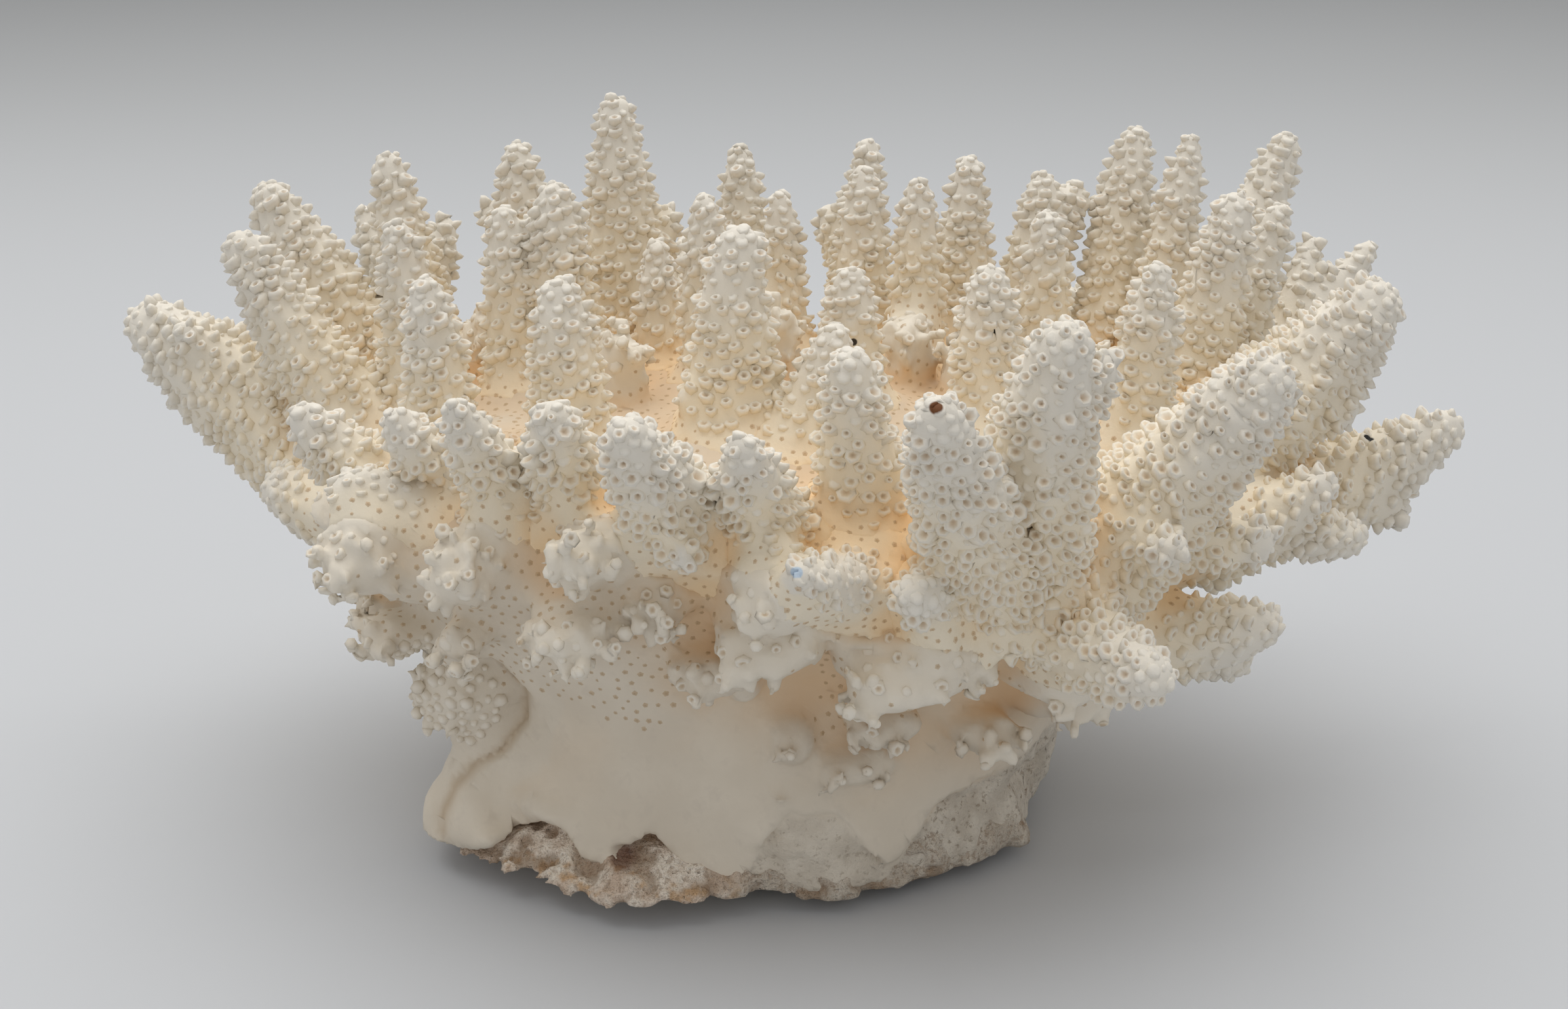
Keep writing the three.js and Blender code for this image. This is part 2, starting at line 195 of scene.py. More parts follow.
class Field:
    """A box of values: values[i, j, k] is at (low + (i, j, k)) * voxel, in mm."""

    def __init__(self, values, low, voxel):
        self.values = values
        self.low = np.asarray(low)
        self.voxel = voxel

    @staticmethod
    def of(points, tris, voxel, band, pad):
        """Signed distance from a closed mesh, cut off at the band."""
        grid = openvdb.FloatGrid.createLevelSetFromPolygons(
            points.astype(np.float64),
            triangles=tris.astype(np.uint32),
            transform=openvdb.createLinearTransform(voxel),
            halfWidth=band / voxel,
        )
        low = np.floor(points.min(0) / voxel).astype(int) - pad
        high = np.ceil(points.max(0) / voxel).astype(int) + pad
        values = np.empty(tuple(high - low + 1), np.float32)
        grid.copyToArray(values, ijk=tuple(int(v) for v in low))
        return Field(values, low, voxel)

    def inside(self, other):
        """The slices of another field's box, on the same voxels, that this field covers."""
        start = self.low - other.low
        return tuple(slice(int(a), int(a + n)) for a, n in zip(start, self.values.shape))

    def coarse(self, step):
        return Field(self.values[::step, ::step, ::step].copy(), self.low / step, self.voxel * step)

    def blurred(self, sigma):
        s = sigma / self.voxel
        reach = max(1, math.ceil(2.5 * s))
        weights = np.exp(-0.5 * (np.arange(-reach, reach + 1) / s) ** 2)
        weights = (weights / weights.sum()).astype(np.float32)
        out = self.values
        for axis in range(3):
            padded = np.pad(out, [(reach, reach) if a == axis else (0, 0) for a in range(3)], mode="edge")
            n = out.shape[axis]
            total = np.zeros_like(out)
            for k, w in enumerate(weights):
                part = [slice(None)] * 3
                part[axis] = slice(k, k + n)
                total += w * padded[tuple(part)]
            out = total
        return Field(out, self.low, self.voxel)

    def near(self, reach):
        """Which voxels lie within reach of the surface, and where they are."""
        mask = np.abs(self.values) < reach
        return mask, (np.argwhere(mask) + self.low) * self.voxel

    def at(self, points):
        """Values between voxels."""
        p = points / self.voxel - self.low
        top = np.array(self.values.shape) - 2
        cell = np.clip(np.floor(p).astype(int), 0, top)
        f = np.clip(p - cell, 0, 1)
        out = np.zeros(len(points))
        for corner in np.ndindex(2, 2, 2):
            w = np.prod(np.where(np.array(corner), f, 1 - f), axis=1)
            i, j, k = (cell + corner).T
            out += w * self.values[i, j, k]
        return out

    def gradient(self, points, step):
        ways = [self.at(points + step * e) - self.at(points - step * e) for e in np.eye(3)]
        return unit(np.stack(ways, axis=1))

    def surface(self, flatten=FLATTEN):
        """The zero surface: corners in mm and triangles, facing out, with fewer where it is flat."""
        grid = openvdb.FloatGrid(float(self.values.max()))
        grid.transform = openvdb.createLinearTransform(self.voxel)
        grid.copyFromArray(np.ascontiguousarray(self.values), ijk=tuple(int(v) for v in self.low))
        points, tris, quads = grid.convertToPolygons(isovalue=0.0, adaptivity=flatten)
        quads = quads.reshape(-1, 4).astype(np.int32)
        halves = [quads[:, [0, 1, 2]], quads[:, [0, 2, 3]]]
        tris = np.concatenate([tris.reshape(-1, 3).astype(np.int32), *halves])
        a, b, c = (points[tris[:, k]] for k in range(3))
        if np.einsum("ij,ij->i", a, np.cross(b, c)).sum() < 0:
            tris = tris[:, ::-1]
        return points.astype(np.float64), np.ascontiguousarray(tris)


def cad_mesh(name):
    """A CAD node's corners in mm and its triangles, on shared corners."""
    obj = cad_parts[name]
    mesh = obj.data
    mesh.calc_loop_triangles()
    points = np.empty(len(mesh.vertices) * 3, np.float32)
    mesh.vertices.foreach_get("co", points)
    matrix = np.array(obj.matrix_world)
    points = (points.reshape(-1, 3) @ matrix[:3, :3].T + matrix[:3, 3]) / MM
    tris = np.empty(len(mesh.loop_triangles) * 3, np.int32)
    mesh.loop_triangles.foreach_get("vertices", tris)
    places = np.round(points * 1000).astype(np.int64)
    _, first, inverse = np.unique(places, axis=0, return_index=True, return_inverse=True)
    tris = inverse.reshape(-1)[tris.reshape(-1, 3)]
    good = (tris[:, 0] != tris[:, 1]) & (tris[:, 1] != tris[:, 2]) & (tris[:, 2] != tris[:, 0])
    return points[first].astype(np.float32), tris[good].astype(np.int32)


# The colony as one smoothed field

MESHES = {name: cad_mesh(name) for name in NODES}
PADS = {name: BASE_PAD if name == "base" else PAD for name in NODES}
SOLIDS = {name: Field.of(*MESHES[name], VOXEL, BAND, PADS[name]) for name in NODES}


def bulk_of_body():
    """The body and crust smoothed broadly: a bud or shelf stands proud of it."""
    return SOLIDS["base"].coarse(BROAD_STEP).blurred(BROAD_BLUR)


BROAD = bulk_of_body()


def soft_min(a, b, reach):
    """The lesser of two fields, with a fillet of about the given reach where they meet."""
    near = np.maximum(reach - np.abs(a - b), 0) / reach
    return np.minimum(a, b) - near * near * reach * 0.25


def inset_solids():
    """Each solid drawn in to leave room for what stands on it."""
    base = SOLIDS["base"]
    mask, spots = base.near(INSET_NEAR)
    bud = smoothstep(2.0, 4.5, BROAD.at(spots)) * smoothstep(22, 30, spots[:, 2])
    base.values[mask] += (BASE_INSET + (BUD_INSET - BASE_INSET) * bud).astype(np.float32)
    # At the left the crust runs down in one skirt, from under the nubs to the floor.
    top, foot = np.array(SKIRT)
    run = foot - top
    t = np.clip((spots - top) @ run / (run @ run), 0, 1)
    skirt = np.linalg.norm(spots - top - t[:, None] * run, axis=1) - SKIRT_RADIUS
    base.values[mask] = soft_min(base.values[mask], skirt, SKIRT_FILLET).astype(np.float32)
    for name in FINGERS:
        SOLIDS[name].values += FINGER_INSET
    # The crust may hang down over the rock as far as its ragged edge.
    stone = SOLIDS["reef_rock"]
    here = stone.inside(base)
    heights = (np.arange(stone.values.shape[2]) + stone.low[2]) * VOXEL
    over = stone.values - CRUST_THICK + 6.0 * np.maximum(0, 2.4 - heights)
    base.values[here] = np.minimum(base.values[here], over)


inset_solids()


def unite():
    """All the solids as one: the plain least distance, and one with fillets where they meet."""
    low = np.min([f.low for f in SOLIDS.values()], axis=0)
    high = np.max([f.low + f.values.shape for f in SOLIDS.values()], axis=0)
    least = Field(np.full(tuple(high - low), BAND, np.float32), low, VOXEL)
    soft = Field(least.values.copy(), low, VOXEL)
    for name in FINGERS:
        here = SOLIDS[name].inside(soft)
        soft.values[here] = soft_min(soft.values[here], SOLIDS[name].values, FORK_FILLET)
    here = SOLIDS["base"].inside(soft)
    soft.values[here] = soft_min(soft.values[here], SOLIDS["base"].values, FOOT_FILLET)
    here = SOLIDS["reef_rock"].inside(soft)
    soft.values[here] = np.minimum(soft.values[here], SOLIDS["reef_rock"].values)
    for field in SOLIDS.values():
        here = field.inside(least)
        least.values[here] = np.minimum(least.values[here], field.values)
    return least, soft


def fold(p):
    """The fold at the left: how far behind its lip a place is, in mm, and how much of the fold is there."""
    there = smoothstep(-12, -20, p[:, 1]) * smoothstep(6, 10, p[:, 2]) * smoothstep(47, 41, p[:, 2])
    lip = np.interp(p[:, 2], FOLD_Z, FOLD_X) + 1.2 * noise(p, 6.0, 51)
    return lip - p[:, 0], there


def filled_share(whole, reach):
    """How much of the room about a place, out to about the reach, is filled: low at a rim or tip."""
    filled = whole.coarse(2)
    filled.values = smoothstep(1.0, -1.0, filled.values).astype(np.float32)
    return filled.blurred(reach)


def pocket_share(p, centre, radii):
    """Distance from the middle of a hollow, as a share of its radii."""
    return np.linalg.norm((p - centre) / radii, axis=1)


def shape_crust(whole):
    """Adds lumps, the lobes on the rims of buds, the fold and the hollows to the smoothed whole."""
    mask, p = whole.near(SHAPE_NEAR)
    body = SOLIDS["base"].at(p) < np.minimum(whole.values[mask] + 1.5, 3.0)
    move = 0.34 * noise(p, 6.5, 11) + 0.26 * noise(p, 2.7, 12)
    low = body & (p[:, 2] < 60)
    move[low] = 0.7 * noise(p[low], 11.0, 13) + 0.26 * noise(p[low], 4.0, 14)
    bud = body & (p[:, 2] > 22)
    bud[bud] = BROAD.at(p[bud]) > 1.6
    rim = smoothstep(0.48, 0.30, filled_share(whole, RIM_REACH).at(p[bud]))
    lobes = smoothstep(0.5, 2.2, cells(p[bud] * [1, 1, 0.75], 3.3, 15)) - 0.5
    move[bud] += (0.6 + 2.0 * rim) * lobes + 0.3 * noise(p[bud], 2.6, 16)
    behind, there = fold(p)
    fade = np.exp(-np.maximum(behind, 0) / FOLD_RUN)
    move += body * there * FOLD_STEP * smoothstep(-0.8, 0.8, behind) * fade
    whole.values[mask] += move.astype(np.float32)
    for centre, radii in POCKETS:
        dent = (1 - pocket_share(p, centre, radii)) * min(radii)
        whole.values[mask] = np.maximum(whole.values[mask], dent.astype(np.float32))


LEAST, _soft = unite()
WHOLE = _soft.blurred(BLUR)
shape_crust(WHOLE)

# CROWD says how crowded the room about a place is; the materials paint a warm glow and shade where it is
# high.
CROWD = filled_share(WHOLE, CROWD_REACH)
SLIM = filled_share(WHOLE, RIM_REACH)
BODY = Field(np.full(WHOLE.values.shape, BAND, np.float32), WHOLE.low, VOXEL)
BODY.values[SOLIDS["base"].inside(BODY)] = SOLIDS["base"].values


def seen_at(pixel):
    """Where the camera's ray through a pixel first meets the smoothed whole, in mm."""
    u = (pixel[0] - IMAGE_SIZE[0] / 2) / FOCAL_PX
    w = (IMAGE_SIZE[1] / 2 - pixel[1]) / FOCAL_PX
    down = math.radians(CAMERA_PITCH)
    way = np.array([u, math.cos(down) + w * math.sin(down), w * math.cos(down) - math.sin(down)])
    along = CAMERA_AT + np.arange(200, 600, 0.2)[:, None] * way
    return along[np.argmax(WHOLE.at(along) < 0)]


def own_share(name):
    """A node's share of the smoothed whole, parted from its neighbours midway between the solids.

    Inside the body the base takes all, and a finger's root ends a little way in.
    """
    solid = SOLIDS[name]
    here = solid.inside(WHOLE)
    beyond = np.maximum(0, solid.values - LEAST.values[here] - OVERLAP)
    if name == "base":
        beyond = np.minimum(beyond, np.maximum(0, solid.values + ROOT_DEPTH - 2.0))
    share = WHOLE.values[here] + 2.0 * beyond
    if name in FINGERS:
        share = np.maximum(share, -ROOT_DEPTH - BODY.values[here])
    return Field(share, solid.low, VOXEL)


# Surfaces


def edges_of(tris):
    pairs = np.concatenate([tris[:, [0, 1]], tris[:, [1, 2]], tris[:, [2, 0]]])
    return np.unique(np.sort(pairs, axis=1), axis=0)


def main_part(points, tris):
    """The largest connected part of a surface."""
    parent = list(range(len(points)))

    def root(a):
        while parent[a] != a:
            parent[a] = parent[parent[a]]
            a = parent[a]
        return a

    for a, b in edges_of(tris).tolist():
        a, b = root(a), root(b)
        if a != b:
            parent[a] = b
    labels = np.array([root(a) for a in range(len(points))])
    values, counts = np.unique(labels, return_counts=True)
    keep = labels == values[np.argmax(counts)]
    number = np.cumsum(keep) - 1
    return points[keep], number[tris[keep[tris[:, 0]]]].astype(np.int32)


def walk(points, edges, sources):
    """Distance over the surface from the source corners."""
    lengths = np.linalg.norm(points[edges[:, 0]] - points[edges[:, 1]], axis=1)
    near = [[] for _ in points]
    for (a, b), d in zip(edges.tolist(), lengths.tolist()):
        near[a].append((b, d))
        near[b].append((a, d))
    far = [1e9] * len(points)
    heap = []
    for s in sources:
        far[s] = 0.0
        heap.append((0.0, s))
    heapq.heapify(heap)
    while heap:
        d, a = heapq.heappop(heap)
        if d > far[a]:
            continue
        for b, step in near[a]:
            if d + step < far[b]:
                far[b] = d + step
                heapq.heappush(heap, (d + step, b))
    far = np.array(far)
    far[far > 1e8] = 0
    return far


def soften(values, edges, rounds):
    """Averages a value over neighbouring corners."""
    count = np.ones(len(values))
    np.add.at(count, edges[:, 0], 1)
    np.add.at(count, edges[:, 1], 1)
    shape = (-1,) + (1,) * (values.ndim - 1)
    for _ in range(rounds):
        total = values.copy()
        np.add.at(total, edges[:, 0], values[edges[:, 1]])
        np.add.at(total, edges[:, 1], values[edges[:, 0]])
        values = total / count.reshape(shape)
    return values


def uphill(points, edges, values, normals):
    """Direction over the surface in which a value grows."""
    step = points[edges[:, 1]] - points[edges[:, 0]]
    rise = (values[edges[:, 1]] - values[edges[:, 0]]) / (np.einsum("ij,ij->i", step, step) + 1e-9)
    out = np.zeros_like(points)
    for k in range(2):
        np.add.at(out, edges[:, k], step * rise[:, None])
    out -= normals * np.einsum("ij,ij->i", out, normals)[:, None]
    return unit(soften(unit(out), edges, 3))


def scatter(points, tris, data, closest, spacing):
    """Places spread over a surface, each keeping its own distance from the others.

    Rows of data are mixed from the corners. spacing gives each row's distance, or 0 where nothing stands.
    """
    a, b, c = (points[tris[:, k]] for k in range(3))
    area = np.linalg.norm(np.cross(b - a, c - a), axis=1) / 2
    count = int(area.sum() * TRIES / closest**2)
    pick = RNG.choice(len(tris), count, p=area / area.sum())
    u, v = RNG.random((2, count))
    flip = u + v > 1
    u[flip], v[flip] = 1 - u[flip], 1 - v[flip]
    mix = np.stack([1 - u - v, u, v], axis=1)
    rows = np.einsum("nk,nkd->nd", mix, data[tris[pick]])
    apart = spacing(rows)
    rows, apart = rows[apart > 0], apart[apart > 0]
    if not len(rows):
        return rows
    size = apart.max()
    grid = {}
    chosen = []
    cell_of = np.floor(rows[:, :3] / size).astype(int).tolist()
    steps = [(i, j, k) for i in (-1, 0, 1) for j in (-1, 0, 1) for k in (-1, 0, 1)]
    for i, ((x, y, z), (cx, cy, cz), gap) in enumerate(zip(rows[:, :3].tolist(), cell_of, apart.tolist())):
        free = True
        for sx, sy, sz in steps:
            for qx, qy, qz, other in grid.get((cx + sx, cy + sy, cz + sz), ()):
                if (x - qx) ** 2 + (y - qy) ** 2 + (z - qz) ** 2 < (0.5 * (gap + other)) ** 2:
                    free = False
                    break
            if not free:
                break
        if free:
            grid.setdefault((cx, cy, cz), []).append((x, y, z, gap))
            chosen.append(i)
    return rows[chosen]


# What stands on the surface. A ring of a template is (radius, height, forward, tilt, hole, lip); the last
# one is the middle. A height below 0 is in mm, to sink the foot under the surface. Forward is towards the
# growing tip, and tilt is its share of the lean. Hole is how much painted shade a ring gets, for the shade
# in a cup's hole or a pit.

CUP = [
    (1.24, -0.6, -0.18, 0.0, 0.0, 0.05),
    (0.98, 0.45, 0.0, 0.75, 0.0, 0.5),
    (0.78, 0.84, 0.22, 1.0, 0.0, 1.0),
    (0.50, 0.74, 0.20, 1.0, 0.35, 0.7),
    (0.0, 0.05, -0.10, 1.0, 1.0, 0.0),
]
KNOB = [
    (1.25, -0.6, 0.0, 0.0, 0.0, 0.1),
    (1.00, 0.35, 0.10, 0.5, 0.0, 0.4),
    (0.58, 0.72, 0.22, 0.9, 0.0, 0.8),
    (0.0, 0.84, 0.28, 1.0, 0.0, 1.0),
]
# A pit is a flat dot, barely raised, with painted shade darkest in its middle.
PIT = [
    (1.0, -0.4, 0.0, 0.0, 0.0, 0.0),
    (0.52, 0.06, 0.0, 0.0, 0.75, 0.0),
    (0.0, 0.03, 0.0, 0.0, 1.0, 0.0),
]


def template_tris(rings, sides):
    tris = []
    for ring in range(rings - 2):
        for s in range(sides):
            a, b = ring * sides + s, ring * sides + (s + 1) % sides
            tris += [(a, b, b + sides), (a, b + sides, a + sides)]
    last = (rings - 2) * sides
    for s in range(sides):
        tris.append((last + s, last + (s + 1) % sides, last + sides))
    for s in range(1, sides - 1):
        tris.append((0, s + 1, s))
    return np.array(tris, np.int32)


def stamp(rings, sides, at, normal, way, radius, height, lean, hole):
    """Copies of a template on the surface, leaning from the normal along the way."""
    count = len(at)
    way = unit(way - normal * np.einsum("ij,ij->i", way, normal)[:, None])
    side = np.cross(way, normal)
    turn = RNG.random(count) * 2 * math.pi
    points, marks = [], []
    for r, h, forward, tilt, dark, lip in rings:
        angle = (lean * tilt)[:, None]
        ahead = way * np.cos(angle) - normal * np.sin(angle)
        above = h * height if h > 0 else np.full(count, h)
        centre = at + normal * above[:, None] + way * (forward * height)[:, None]
        for s in range(sides if r else 1):
            wide = (r * radius * (1 + WOBBLE * RNG.standard_normal(count)))[:, None]
            a = (turn + 2 * math.pi * s / sides)[:, None]
            points.append(centre + wide * (np.cos(a) * side - np.sin(a) * ahead))
            marks.append((dark * hole, lip))
    per = len(points)
    points = np.stack(points, axis=1).reshape(-1, 3)
    tris = template_tris(len(rings), sides)
    tris = (tris[None] + (np.arange(count) * per)[:, None, None]).reshape(-1, 3)
    return points, tris, np.tile(np.array(marks), (count, 1)), per


def marked(stamped, *others):
    """A stamp's own marks with one value a copy for each of the other marks."""
    points, tris, marks, per = stamped
    return points, tris, np.column_stack([marks, *(np.repeat(v, per) for v in others)])


def join(parts):
    """Several (points, tris, marks) as one."""
    offset, points, tris, marks = 0, [], [], []
    for p, t, m in parts:
        points.append(p)
        tris.append(t + offset)
        marks.append(m)
        offset += len(p)
    return np.concatenate(points), np.concatenate(tris), np.concatenate(marks)


# Columns of a scattered place's row of data
POINT, NORMAL, WAY = slice(0, 3), slice(3, 6), slice(6, 9)
HEIGHT, UP = 2, 5
FINGER_FAR, FINGER_CROWD, FINGER_TIP, FINGER_DEPTH = range(9, 13)
BASE_PROUD, BASE_CROWD, BASE_SLIM, BASE_TIP, BASE_DEPTH, BASE_NUBS, BASE_BARE = range(9, 16)

CUPS, KNOBS, PITS = range(3)
STAMPS = (("cups", CUP, 6), ("knobs", KNOB, 6), ("pits", PIT, 5))
# How much painted shade each kind of stamp gets in its hole.
HOLE_SHADE = {"cups": 0.72, "knobs": 0.0, "pits": 0.85}
# The fifth mark is painted shade along the fold's crease, and on the rock the hollows' own stain darkened
# with painted shade.
MARKS = ("hole", "lip", "tip", "closed", "stain_and_shade", "bared")


def vary(count, by):
    """Random factors about 1."""
    return 1 + by * RNG.standard_normal(count)


def make_piece(name, points, tris, marks, material, node, slot):
    """A smooth-shaded mesh object with a value per mark, riding in place of its CAD node."""
    mesh = bpy.data.meshes.new(name)
    mesh.vertices.add(len(points))
    mesh.vertices.foreach_set("co", (points * MM).astype(np.float32).ravel())
    mesh.loops.add(len(tris) * 3)
    mesh.loops.foreach_set("vertex_index", tris.astype(np.int32).ravel())
    mesh.polygons.add(len(tris))
    mesh.polygons.foreach_set("loop_start", np.arange(0, len(tris) * 3, 3, dtype=np.int32))
    mesh.polygons.foreach_set("use_smooth", np.ones(len(tris), bool))
    mesh.update(calc_edges=True)
    for label, values in zip(MARKS, marks.T):
        layer = mesh.attributes.new(label, "FLOAT", "POINT")
        layer.data.foreach_set("value", np.clip(values, 0, 1).astype(np.float32))
    mesh.validate()
    mesh.materials.append(material)
    obj = bpy.data.objects.new(name, mesh)
    bpy.context.scene.collection.objects.link(obj)
    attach(obj, "root")
    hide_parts(node)


# Materials


class Nodes:
    """Short ways to add shader nodes to a material."""

    def __init__(self, name):
        self.material = bpy.data.materials.new(name)
        self.material.use_nodes = True
        self.tree = self.material.node_tree
        self.shader = self.tree.nodes["Principled BSDF"]

    def add(self, kind, **settings):
        node = self.tree.nodes.new(kind)
        for key, value in settings.items():
            setattr(node, key, value)
        return node

    def put(self, socket, value):
        if isinstance(value, bpy.types.NodeSocket):
            self.tree.links.new(value, socket)
        else:
            socket.default_value = value

    def attribute(self, name):
        return self.add("ShaderNodeAttribute", attribute_name=name).outputs["Fac"]

    def place(self):
        return self.add("ShaderNodeTexCoord").outputs["Object"]

    def noise(self, size_mm, detail=3.0, rough=0.55):
        node = self.add("ShaderNodeTexNoise")
        self.put(node.inputs["Vector"], self.place())
        self.put(node.inputs["Scale"], 1000.0 / size_mm)
        self.put(node.inputs["Detail"], detail)
        self.put(node.inputs["Roughness"], rough)
        return node.outputs["Fac"]

    def spot(self, at, radius):
        """1 within a radius of a place, both in mm."""
        node = self.add("ShaderNodeVectorMath", operation="DISTANCE")
        self.put(node.inputs[0], self.place())
        self.put(node.inputs[1], [float(v) * MM for v in at])
        return self.band(node.outputs["Value"], radius * MM, 0.7 * radius * MM)

    def band(self, value, low, high, out_low=0.0, out_high=1.0):
        node = self.add("ShaderNodeMapRange", interpolation_type="SMOOTHSTEP")
        self.put(node.inputs["Value"], value)
        for key, v in (("From Min", low), ("From Max", high), ("To Min", out_low), ("To Max", out_high)):
            self.put(node.inputs[key], v)
        return node.outputs["Result"]

    def times(self, a, b):
        node = self.add("ShaderNodeMath", operation="MULTIPLY")
        self.put(node.inputs[0], a)
        self.put(node.inputs[1], b)
        return node.outputs[0]

    def mix(self, factor, a, b):
        node = self.add("ShaderNodeMix", data_type="RGBA")
        self.put(node.inputs[0], factor)
        self.put(node.inputs[6], (*a, 1) if isinstance(a, tuple) else a)
        self.put(node.inputs[7], (*b, 1) if isinstance(b, tuple) else b)
        return node.outputs[2]

    def bump(self, height, depth_mm, strength=1.0, normal=None):
        node = self.add("ShaderNodeBump")
        self.put(node.inputs["Height"], height)
        self.put(node.inputs["Distance"], depth_mm * MM)
        self.put(node.inputs["Strength"], strength)
        if normal is not None:
            self.put(node.inputs["Normal"], normal)
        return node.outputs["Normal"]

    def finish(self, colour, roughness, specular, normal):
        self.put(self.shader.inputs["Base Color"], colour)
        self.put(self.shader.inputs["Roughness"], roughness)
        self.put(self.shader.inputs["Specular IOR Level"], specular)
        self.put(self.shader.inputs["Normal"], normal)
        return self.material


# Colours of the fingers
CREAM = (0.90, 0.81, 0.65)
PALE_CREAM = (0.90, 0.83, 0.70)
WHITE = (0.83, 0.785, 0.70)
# Painted glow: the fingers turn warm where they are crowded, standing in for light bounced and shone
# through in the recesses.
PAINTED_RECESS_GLOW = (0.98, 0.71, 0.40)
CUP_LIP = (0.90, 0.86, 0.78)
# Painted shade inside the cups' holes: the wall, then the floor.
CUP_WALL_SHADE = (0.66, 0.47, 0.28)
CUP_FLOOR_SHADE = (0.40, 0.23, 0.10)

# Colours of the crust
SHELL = (0.72, 0.645, 0.535)
PALE_SHELL = (0.79, 0.715, 0.60)
SHELL_CLOUD = (0.62, 0.55, 0.46)
SHELL_TIP = (0.87, 0.81, 0.70)
# Painted shade: the crust turns warmer and darker where it is crowded, between the buds and shelves.
SHELL_PAINTED_RECESS_SHADE = (0.80, 0.58, 0.36)
SHELL_LIP = (0.90, 0.85, 0.76)
# Painted shade in the pits: the wall, then the middle.
PIT_WALL_SHADE = (0.60, 0.43, 0.25)
PIT_FLOOR_SHADE = (0.36, 0.24, 0.13)
# Painted shade: a dark brown line in the crease just behind the fold's lip.
FOLD_PAINTED_SHADE = (0.42, 0.28, 0.14)

# Colours of the rock and of the bared stone at the crust's edge
BARE_DARK = (0.56, 0.50, 0.42)
BARE_PALE = (0.72, 0.66, 0.57)
# Painted shade in the bared stone's pores, which the bump sinks.
BARE_PORE_SHADE = (0.27, 0.21, 0.15)
ROCK_PINK = (0.74, 0.59, 0.47)
ROCK_PALE = (0.97, 0.89, 0.78)
ROCK_OCHRE = (0.62, 0.36, 0.15)
# Painted shade in the rock's pores, which the bump sinks.
ROCK_PORE_SHADE = (0.34, 0.23, 0.15)
# Painted shade in the rock's carved holes.
ROCK_HOLE_SHADE = (0.30, 0.19, 0.11)
# The hollows under the crust's edge: partly their own red-brown stain, partly painted shade, near black.
ROCK_POCKET_STAIN_AND_SHADE = (0.15, 0.055, 0.03)


def coral_material():
    n = Nodes("coral_skeleton")
    # Painted glow: warm where the colony is crowded, for light bounced and shone through in the recesses.
    painted_recess_warmth = n.band(n.attribute("closed"), 0.38, 0.66)
    blotch = n.band(n.noise(9.0), 0.35, 0.7)
    body = n.mix(n.times(blotch, 0.35), CREAM, PALE_CREAM)
    body = n.mix(n.band(n.attribute("tip"), 0.0, 1.0), body, WHITE)
    body = n.mix(painted_recess_warmth, body, PAINTED_RECESS_GLOW)
    lip = n.times(n.band(n.attribute("lip"), 0.4, 1.0), n.band(n.attribute("closed"), 0.75, 0.4, 0.1, 0.6))
    body = n.mix(lip, body, CUP_LIP)
    # Painted shade inside the cups' holes.
    body = n.mix(n.times(n.band(n.attribute("hole"), 0.1, 0.6), 0.6), body, CUP_WALL_SHADE)
    body = n.mix(n.times(n.band(n.attribute("hole"), 0.6, 1.0), 0.85), body, CUP_FLOOR_SHADE)
    for pixel, radius, colour in SPECKS:
        body = n.mix(n.spot(seen_at(pixel), radius), body, colour)
    grain = n.bump(n.noise(0.5, 2.0), 0.10, 0.6)
    return n.finish(body, 0.72, 0.3, grain)


def crust_material():
    n = Nodes("coral_crust")
    # Painted shade: warmer and darker where the crust is crowded.
    painted_recess_warmth = n.band(n.attribute("closed"), 0.36, 0.64)
    blotch = n.band(n.noise(14.0), 0.35, 0.7)
    body = n.mix(blotch, SHELL, PALE_SHELL)
    cloud = n.band(n.noise(3.5, 3.0), 0.52, 0.75, 0.0, 0.35)
    body = n.mix(cloud, body, SHELL_CLOUD)
    body = n.mix(n.times(n.attribute("tip"), 0.9), body, SHELL_TIP)
    body = n.mix(painted_recess_warmth, body, SHELL_PAINTED_RECESS_SHADE)
    lip = n.times(n.band(n.attribute("lip"), 0.4, 1.0), 0.5)
    body = n.mix(lip, body, SHELL_LIP)
    # Painted shade in the pits and cups on the crust.
    body = n.mix(n.times(n.band(n.attribute("hole"), 0.1, 0.6), 0.6), body, PIT_WALL_SHADE)
    body = n.mix(n.times(n.band(n.attribute("hole"), 0.6, 1.0), 0.85), body, PIT_FLOOR_SHADE)
    # Painted shade along the fold's crease.
    body = n.mix(n.times(n.attribute("stain_and_shade"), 0.75), body, FOLD_PAINTED_SHADE)
    pores = n.noise(1.3, 3.0, 0.65)
    bare = n.mix(n.band(n.noise(5.0, 3.0), 0.35, 0.68), BARE_DARK, BARE_PALE)
    # Painted shade in the sunk pores of the bared stone.
    bare = n.mix(n.band(pores, 0.44, 0.34, 0.0, 0.75), bare, BARE_PORE_SHADE)
    body = n.mix(n.attribute("bared"), body, bare)
    pored = n.bump(n.times(pores, n.attribute("bared")), 0.9, 1.0)
    broad = n.bump(n.noise(4.0, 2.0), 0.22, 0.5, pored)
    grain = n.bump(n.noise(0.5, 2.0), 0.05, 0.5, broad)
    return n.finish(body, 0.6, 0.35, grain)


